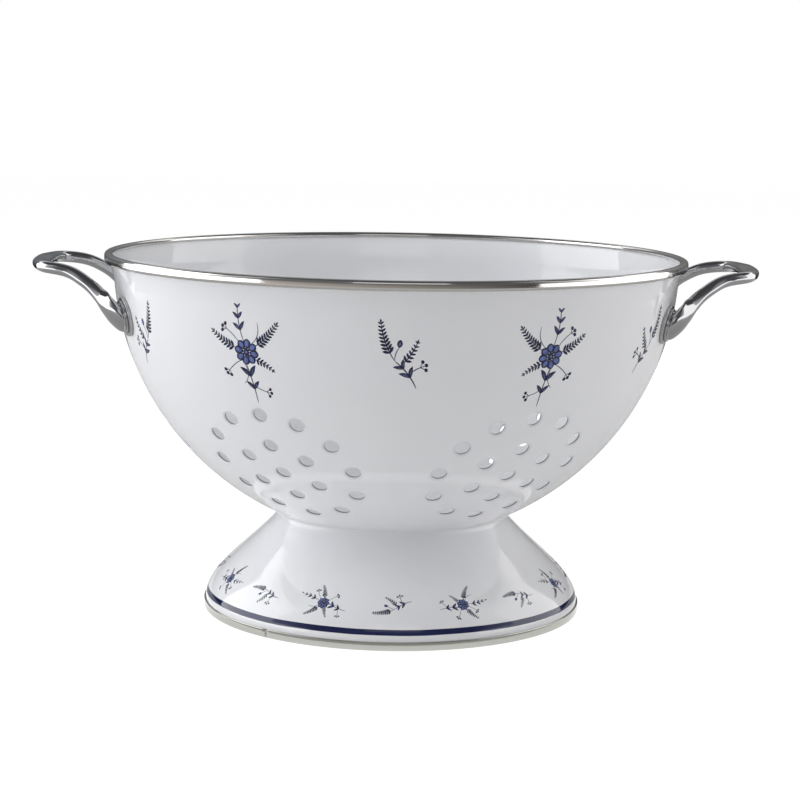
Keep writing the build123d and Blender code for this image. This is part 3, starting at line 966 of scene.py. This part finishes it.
def noise(tree, vector, scale, detail):
    """Output of a Noise Texture node."""
    inputs = {"Vector": vector, "Scale": scale, "Detail": detail}
    return place(tree, "ShaderNodeTexNoise", inputs).outputs[0]


def new_group(name, inputs, outputs):
    """Empty node group with named float or vector inputs and float outputs."""
    group = bpy.data.node_groups.new(name, "ShaderNodeTree")
    for key, value in inputs.items():
        kind = "NodeSocketVector" if value is None else "NodeSocketFloat"
        socket = group.interface.new_socket(name=key, in_out="INPUT", socket_type=kind)
        if value is not None:
            socket.default_value = value
    for key in outputs:
        group.interface.new_socket(name=key, in_out="OUTPUT", socket_type="NodeSocketFloat")
    return group, place(group, "NodeGroupInput").outputs, place(group, "NodeGroupOutput").inputs


def use_group(tree, group, inputs):
    """Outputs of a node group placed in a material."""
    return place(tree, "ShaderNodeGroup", inputs, node_tree=group).outputs


inputs = {"Vector": None, "Scale": 60.0}
kiln, given, result = new_group("kiln_unevenness", inputs, ["Height", "Cloud"])
finer = noise(kiln, given[0], math_of(kiln, "MULTIPLY", given[1], 5.0), 2.0)
peel = math_of(kiln, "MULTIPLY_ADD", finer, 0.18, noise(kiln, given[0], given[1], 1.0))
cloud = noise(kiln, given[0], math_of(kiln, "MULTIPLY", given[1], 0.25), 3.0)
kiln.links.new(peel, result[0])
kiln.links.new(remap(kiln, cloud, 0.3, 0.7), result[1])

inputs = {"Vector": None, "Along": 6.0, "Across": 5000.0}
rolled, given, result = new_group("drawn_lines", inputs, ["Lines", "Worn"])
stretch = place(rolled, "ShaderNodeCombineXYZ", {0: given[1], 1: given[2], 2: 1.0}).outputs[0]
vectors = {0: given[0], 1: stretch}
stretched = place(rolled, "ShaderNodeVectorMath", vectors, operation="MULTIPLY").outputs[0]
vectors = {0: stretched, "Scale": 0.13}
coarse = place(rolled, "ShaderNodeVectorMath", vectors, operation="SCALE").outputs[0]
worn = noise(rolled, coarse, 1.0, 2.0)
rolled.links.new(noise(rolled, stretched, 1.0, 3.0), result[0])
rolled.links.new(remap(rolled, worn, 0.35, 0.7), result[1])
print("node groups", [group.name for group in bpy.data.node_groups])

# %% [markdown]
# Enamel is opaque white glass: a bright diffuse body under a sharp, colourless reflection. Its coat
# is a little thinner and greyer on the lips of the holes, and darker still on their walls. This is
# partly thin enamel and partly painted shade inside the holes. The foot carries a cobalt line that
# was painted round it by hand on a turntable, just above a narrow white strip next to the band.

# %% Enamel and cobalt
def empty_tree(owner):
    """Node tree of a material or world, without any node."""
    owner.use_nodes = True
    owner.node_tree.nodes.clear()
    return owner.node_tree


def new_material(name, **values):
    """Material with one Principled shader, whose constant inputs are set by name."""
    material = bpy.data.materials.new(name)
    tree = empty_tree(material)
    shader = place(tree, "ShaderNodeBsdfPrincipled", values)
    place(tree, "ShaderNodeOutputMaterial", {"Surface": shader.outputs[0]})
    return material, tree, shader


def set_finish(tree, shader, colour, roughness, height, distance):
    """Link colour, roughness and a bump height, in metres, to the shader."""
    bump = place(tree, "ShaderNodeBump", {"Height": height, "Strength": 1.0, "Distance": distance})
    finish = {"Base Color": colour, "Roughness": roughness, "Normal": bump.outputs[0]}
    for key, value in finish.items():
        tree.links.new(value, shader.inputs[key])


def glass(name, waves):
    """Material of enamel, with the place on its piece and the marks of the kiln."""
    material, tree, shader = new_material(name, IOR=1.52)
    where = place(tree, "ShaderNodeTexCoord").outputs["Object"]
    return material, tree, shader, where, use_group(tree, kiln, {"Vector": where, "Scale": waves})


def white_enamel(name, change):
    """Cloudy white enamel, whose colour a function of tree, place and colour may change."""
    material, tree, shader, where, marks = glass(name, 42.0)
    coat = change(tree, where, blend_colours(tree, marks["Cloud"], white_coat, milky_coat))
    gloss = remap(tree, marks["Cloud"], 0.0, 1.0, 0.045, 0.085)
    set_finish(tree, shader, coat, gloss, marks["Height"], 0.05 * mm)
    return material


def thin_lips_and_painted_hole_shade(tree, where, coat):
    """The coat grows thin and grey over the lip of a hole and dark at its edge: partly thin enamel,
    partly painted shade inside the hole.
    """
    lip = place(tree, "ShaderNodeAttribute", attribute_name="lip").outputs["Fac"]
    # Painted shade: the grey over the lip and the near black on the hole's wall stand partly for
    # shade inside the hole and partly for thin enamel.
    coat = blend_colours(tree, math_of(tree, "MULTIPLY", lip, 0.45), coat, thin_coat_and_painted_shade)
    return blend_colours(tree, remap(tree, lip, 0.78, 0.98), coat, bare_edge_and_painted_shade)


def cobalt_line(tree, where, coat):
    """A line between two heights, whose soft edges waver by up to a quarter of a millimetre."""
    waver = noise(tree, where, 45.0, 2.0)
    level = place(tree, "ShaderNodeSeparateXYZ", {0: where}).outputs[2]
    level = math_of(tree, "MULTIPLY_ADD", math_of(tree, "SUBTRACT", waver, 0.5), 0.5 * mm, level)
    above = remap(tree, level, line_low - line_blur, line_low + line_blur)
    below = remap(tree, level, line_high - line_blur, line_high + line_blur, 1.0, 0.0)
    cobalt = blend_colours(tree, math_of(tree, "MULTIPLY", waver, 0.12), cobalt_dark, cobalt_pale)
    return blend_colours(tree, math_of(tree, "MULTIPLY", above, below), coat, cobalt)


white_coat, milky_coat = (0.865, 0.870, 0.890, 1), (0.835, 0.842, 0.868, 1)
# The grey and near black of the holes are partly painted shade and partly thin enamel over steel.
thin_coat_and_painted_shade, bare_edge_and_painted_shade = (0.52, 0.55, 0.60, 1), (0.13, 0.14, 0.155, 1)
cobalt_dark, cobalt_pale = (0.004, 0.006, 0.045, 1), (0.13, 0.18, 0.46, 1)
line_low, line_high, line_blur = 6.6 * mm, 9.0 * mm, 0.06 * mm
bowl.data.materials.append(white_enamel("white_enamel", thin_lips_and_painted_hole_shade))
foot.data.materials.append(white_enamel("white_enamel_with_line", cobalt_line))

painted, tree, shader, where, marks = glass("fired_cobalt", 160.0)
tone = place(tree, "ShaderNodeAttribute", attribute_name="tone").outputs["Fac"]
brush = noise(tree, where, 420.0, 2.0)
tone = math_of(tree, "ADD", tone, remap(tree, brush, 0.3, 0.7, -0.16, 0.16), clamp=True)
cobalt = blend_colours(tree, remap(tree, tone, 0.15, 0.70), cobalt_pale, cobalt_dark)
gloss = remap(tree, brush, 0.3, 0.7, 0.07, 0.14)
set_finish(tree, shader, cobalt, gloss, marks["Height"], 0.03 * mm)
for piece in (bowl_paint, foot_paint):
    piece.data.materials.append(painted)
print("enamel and cobalt ready")

# %% [markdown]
# The metals differ in how they were finished. The bands were rolled, so fine lines run along them.
# The cast handles were polished by hand on a wheel: close to a mirror, a little wavy, with hairline
# scratches along the legs. The seats were turned and left satin, and the screws and washers are
# bright stock.

# %% Metals
def lined_steel(name, colour, smooth, rough, along, across, depth, waves):
    """Metal with drawn lines: roughness between two values by the worn mask, and a line bump.

    Along and across are the lines' scales, depth is theirs, and waves holds a scale and a depth.
    """
    material, tree, shader = new_material(name, Metallic=1.0)
    place_on = place(tree, "ShaderNodeTexCoord").outputs
    inputs = {"Vector": place_on["UV"], "Along": along, "Across": across}
    drawn = use_group(tree, rolled, inputs)
    wave = use_group(tree, kiln, {"Vector": place_on["Object"], "Scale": waves[0]})
    dull = (*(0.86 * c for c in colour), 1)
    tint = blend_colours(tree, drawn["Worn"], (*colour, 1), dull)
    gloss = remap(tree, drawn["Worn"], 0.0, 1.0, smooth, rough)
    line_height = math_of(tree, "MULTIPLY", drawn["Lines"], depth)
    height = math_of(tree, "MULTIPLY_ADD", wave["Height"], waves[1], line_height)
    set_finish(tree, shader, tint, gloss, height, 1.0)
    return material


metals = {}
for name, starts_of_names, *look in (
    ("rolled_band", ("rim_band",),
     (0.66, 0.645, 0.62), 0.07, 0.16, 10, 3200, 0.0012 * mm, (70, 0.03 * mm)),
    ("rolled_foot_band", ("foot_band",),
     (0.47, 0.47, 0.44), 0.09, 0.18, 10, 3200, 0.0012 * mm, (70, 0.03 * mm)),
    ("polished_casting", ("handle_right_cast", "handle_left_cast"),
     (0.45, 0.45, 0.46), 0.05, 0.09, 22, 260, 0.0006 * mm, (45, 0.012 * mm)),
    ("turned_seat", ("handle_seat",),
     (0.50, 0.50, 0.505), 0.24, 0.36, 3, 5200, 0.006 * mm, (120, 0.01 * mm)),
    ("bright_fastener", ("screw_washer",),
     (0.60, 0.60, 0.59), 0.14, 0.24, 6, 2600, 0.003 * mm, (150, 0.02 * mm)),
):
    metals[name] = lined_steel(name, *look)
    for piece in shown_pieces():
        if piece.name.startswith(starts_of_names) and not piece.data.materials:
            piece.data.materials.append(metals[name])
for name, node in frame["nodes"].items():
    if name.startswith("handle_screw"):
        for slot in node.material_slots:
            slot.material = metals["bright_fastener"]
print("metals ready")

# %% [markdown]
# ## Studio
# The colander stands on white paper in a white room that only the camera and reflections see fully.
# Polished metal shows little but its surroundings, so curved flags, which only reflections see,
# stand round it: a warm, bright side behind the viewer that fades to the right and upwards, with a
# window above it, dark gaps behind both handles, a dark ceiling, and a table that is shaded close
# to the foot.

# %% Floor and surroundings
def seen_rays(tree):
    """Share of 1 for rays from the camera, from reflections and through glass, and 0 for others."""
    path = place(tree, "ShaderNodeLightPath").outputs
    first = math_of(tree, "MAXIMUM", path["Is Camera Ray"], path["Is Glossy Ray"])
    return math_of(tree, "MAXIMUM", first, path["Is Transmission Ray"])


def stage_sheet(name, points, faces, material):
    """Mesh that belongs to the studio and not to the colander."""
    mesh = bpy.data.meshes.new(name)
    mesh.from_pydata(np.asarray(points).tolist(), [], np.asarray(faces).tolist())
    mesh.materials.append(material)
    sheet_object = new_object(name, mesh)
    return sheet_object


white, ambient = (1, 1, 1, 1), 0.24
world = bpy.data.worlds.new("white_room")
bpy.context.scene.world = world
tree = empty_tree(world)
strength = math_of(tree, "MULTIPLY_ADD", seen_rays(tree), 1.0 - ambient, ambient)
room = place(tree, "ShaderNodeBackground", {"Color": white, "Strength": strength})
place(tree, "ShaderNodeOutputWorld", {"Surface": room.outputs[0]})

paper = bpy.data.materials.new("white_paper")
tree = empty_tree(paper)
plain = place(tree, "ShaderNodeBsdfDiffuse", {"Color": (0.93, 0.93, 0.93, 1)}).outputs[0]
shown = place(tree, "ShaderNodeBsdfDiffuse", {"Color": (0.30, 0.30, 0.30, 1)}).outputs[0]
glow = place(tree, "ShaderNodeEmission", {"Color": white, "Strength": 0.92}).outputs[0]
bright = place(tree, "ShaderNodeAddShader", {0: shown, 1: glow}).outputs[0]
mixed = place(tree, "ShaderNodeMixShader", {0: seen_rays(tree), 1: plain, 2: bright})
place(tree, "ShaderNodeOutputMaterial", {"Surface": mixed.outputs[0]})
half_floor, floor_level = 4.0, -0.0003
floor_corners = np.array([(-1, -1, 0), (1, -1, 0), (1, 1, 0), (-1, 1, 0)]) * half_floor
stage_sheet("floor", floor_corners + (0, 0, floor_level), [(0, 1, 2, 3)], paper)


def flag(name, radii, azimuths, heights, colour, strengths, rise=(1.0, 1.0)):
    """Part of a cylinder, or of a ring, round the colander that only reflections see.

    Its azimuths are in degrees to the right of the viewer's side. The strength runs between two
    values from its first edge to its last, and is multiplied by a factor that runs between two
    values from its lower edge to its upper one, both by the shares kept in its UV.
    """
    material = bpy.data.materials.new(name)
    tree = empty_tree(material)
    uv = place(tree, "ShaderNodeTexCoord").outputs["UV"]
    shares = place(tree, "ShaderNodeSeparateXYZ", {0: uv}).outputs
    strength = remap(tree, shares[0], 0.0, 1.0, *strengths)
    strength = math_of(tree, "MULTIPLY", strength, remap(tree, shares[1], 0.0, 1.0, *rise))
    glow = place(tree, "ShaderNodeEmission", {"Color": (*colour, 1), "Strength": strength})
    place(tree, "ShaderNodeOutputMaterial", {"Surface": glow.outputs[0]})
    columns = 33  # enough for a smooth curve in a mirror
    share = np.linspace(0, 1, columns)
    angle = np.radians(azimuths[0] + (azimuths[1] - azimuths[0]) * share) - math.pi / 2
    rows = [around(radius, angle, height) for radius, height in zip(radii, heights)]
    faces, _ = grid_faces(2, columns, close_columns=False)
    piece = stage_sheet(name, np.concatenate(rows), faces, material)
    uv = np.stack([np.tile(share, 2), np.repeat([0.0, 1.0], columns)], -1)[faces.ravel()]
    piece.data.uv_layers.new(name="UVMap").data.foreach_set("uv", uv.ravel())
    for way in ("camera", "diffuse", "transmission", "volume_scatter", "shadow"):
        setattr(piece, "visible_" + way, False)
    return piece


near, on_table, all_round = (0.72, 0.72), (0.0, 0.0), (-180, 180)
even, neutral = (1.0, 1.0), (1.0, 1.0, 1.0)
flag("viewers_side", near, (-48, 50), (0.0, 0.16), (0.80, 0.74, 0.69), (1.10, 0.14), (1.0, 0.5))
flag("viewers_side_above", near, (-48, 50), (0.16, 1.1), (0.9, 0.93, 1.0), (0.20, 0.14))
flag("left_fade_above", near, (-74, -48), (0.16, 1.1), (0.95, 0.97, 1.0), (1.05, 0.20))
flag("right_fade_above", near, (50, 76), (0.16, 1.1), (0.97, 0.98, 1.0), (0.14, 1.05))
flag("viewers_window", (0.70, 0.70), (-16, 18), (0.30, 0.60), neutral, (0.95, 0.95))
flag("dark_gap_left", near, (-180, -121), (0.0, 0.5), (0.9, 0.95, 1.0), (0.13, 0.13), (0.02, 3.0))
flag("dark_gap_right", near, (120, 180), (0.0, 0.5), neutral, (0.13, 0.13), (0.02, 3.0))
flag("dark_ceiling", (0.0, 1.3), all_round, (1.15, 1.15), (0.10, 0.10, 0.105), even)
flag("shaded_table", (0.0985, 0.2), all_round, on_table, (1.0, 1.0, 0.97), even, (0.48, 0.50))
flag("paler_table", (0.2, 0.84), all_round, on_table, neutral, even, (0.50, 0.68))
print("studio ready")

# %% [markdown]
# A large soft box stands at each side, the left one brighter, so the sides of the bowl are bright
# and its front falls off to a soft grey. A weaker light from above the viewer fills the inside.

# %% Soft boxes
def area_light(name, location, aim_height, size, power, colour, reflected=True):
    """Rectangular light that faces a height on the colander's axis and that no camera sees."""
    data = bpy.data.lights.new(name, "AREA")
    data.shape = "RECTANGLE"
    data.size, data.size_y = size
    data.energy, data.color = power, colour
    light = new_object(name, data)
    light.location = location
    facing = Vector((0, 0, aim_height)) - light.location
    light.rotation_euler = facing.to_track_quat("-Z", "Y").to_euler()
    light.visible_camera, light.visible_glossy = False, reflected
    print(name, "at", [round(value, 3) for value in light.location])


box_size, box_distance, box_azimuth = (1.7, 0.9), 0.85, math.radians(93)
box_height = box_size[1] / 2
box_y = -box_distance * math.cos(box_azimuth)
for name, side, power, colour in (
    ("left_box", -1, 8.8, (0.98, 0.985, 1.0)),
    ("right_box", 1, 5.4, (1.0, 0.99, 0.98)),
):
    box_place = (side * box_distance * math.sin(box_azimuth), box_y, box_height)
    area_light(name, box_place, box_height, box_size, power, colour)
area_light("upper_fill", (-0.22, -0.38, 1.1), 0.1, (0.8, 0.8), 3.4, neutral, reflected=False)

# %% [markdown]
# ## Camera
# The camera's place, aim, roll and lens were fitted to the photograph once and are kept as numbers.

# %% Camera and view transform
camera_data = bpy.data.cameras.new("camera")
camera_data.lens, camera_data.sensor_width = 96.69, 36.0
camera = new_object("camera", camera_data)
camera_place = Vector((-0.0141, -0.9814, 0.2451))
aim_place = Vector((0.0027, 0.0, 0.0958))
camera_roll = math.radians(0.967)
forward = (aim_place - camera_place).normalized()
level = forward.cross(Vector((0, 0, 1))).normalized()
upward = level.cross(forward)
right = level * math.cos(camera_roll) + upward * math.sin(camera_roll)
above = upward * math.cos(camera_roll) - level * math.sin(camera_roll)
turn = Matrix((right, above, -forward)).transposed().to_4x4()
camera.matrix_world = Matrix.Translation(camera_place) @ turn
bpy.context.scene.camera = camera
bpy.context.scene.view_settings.view_transform = "Standard"
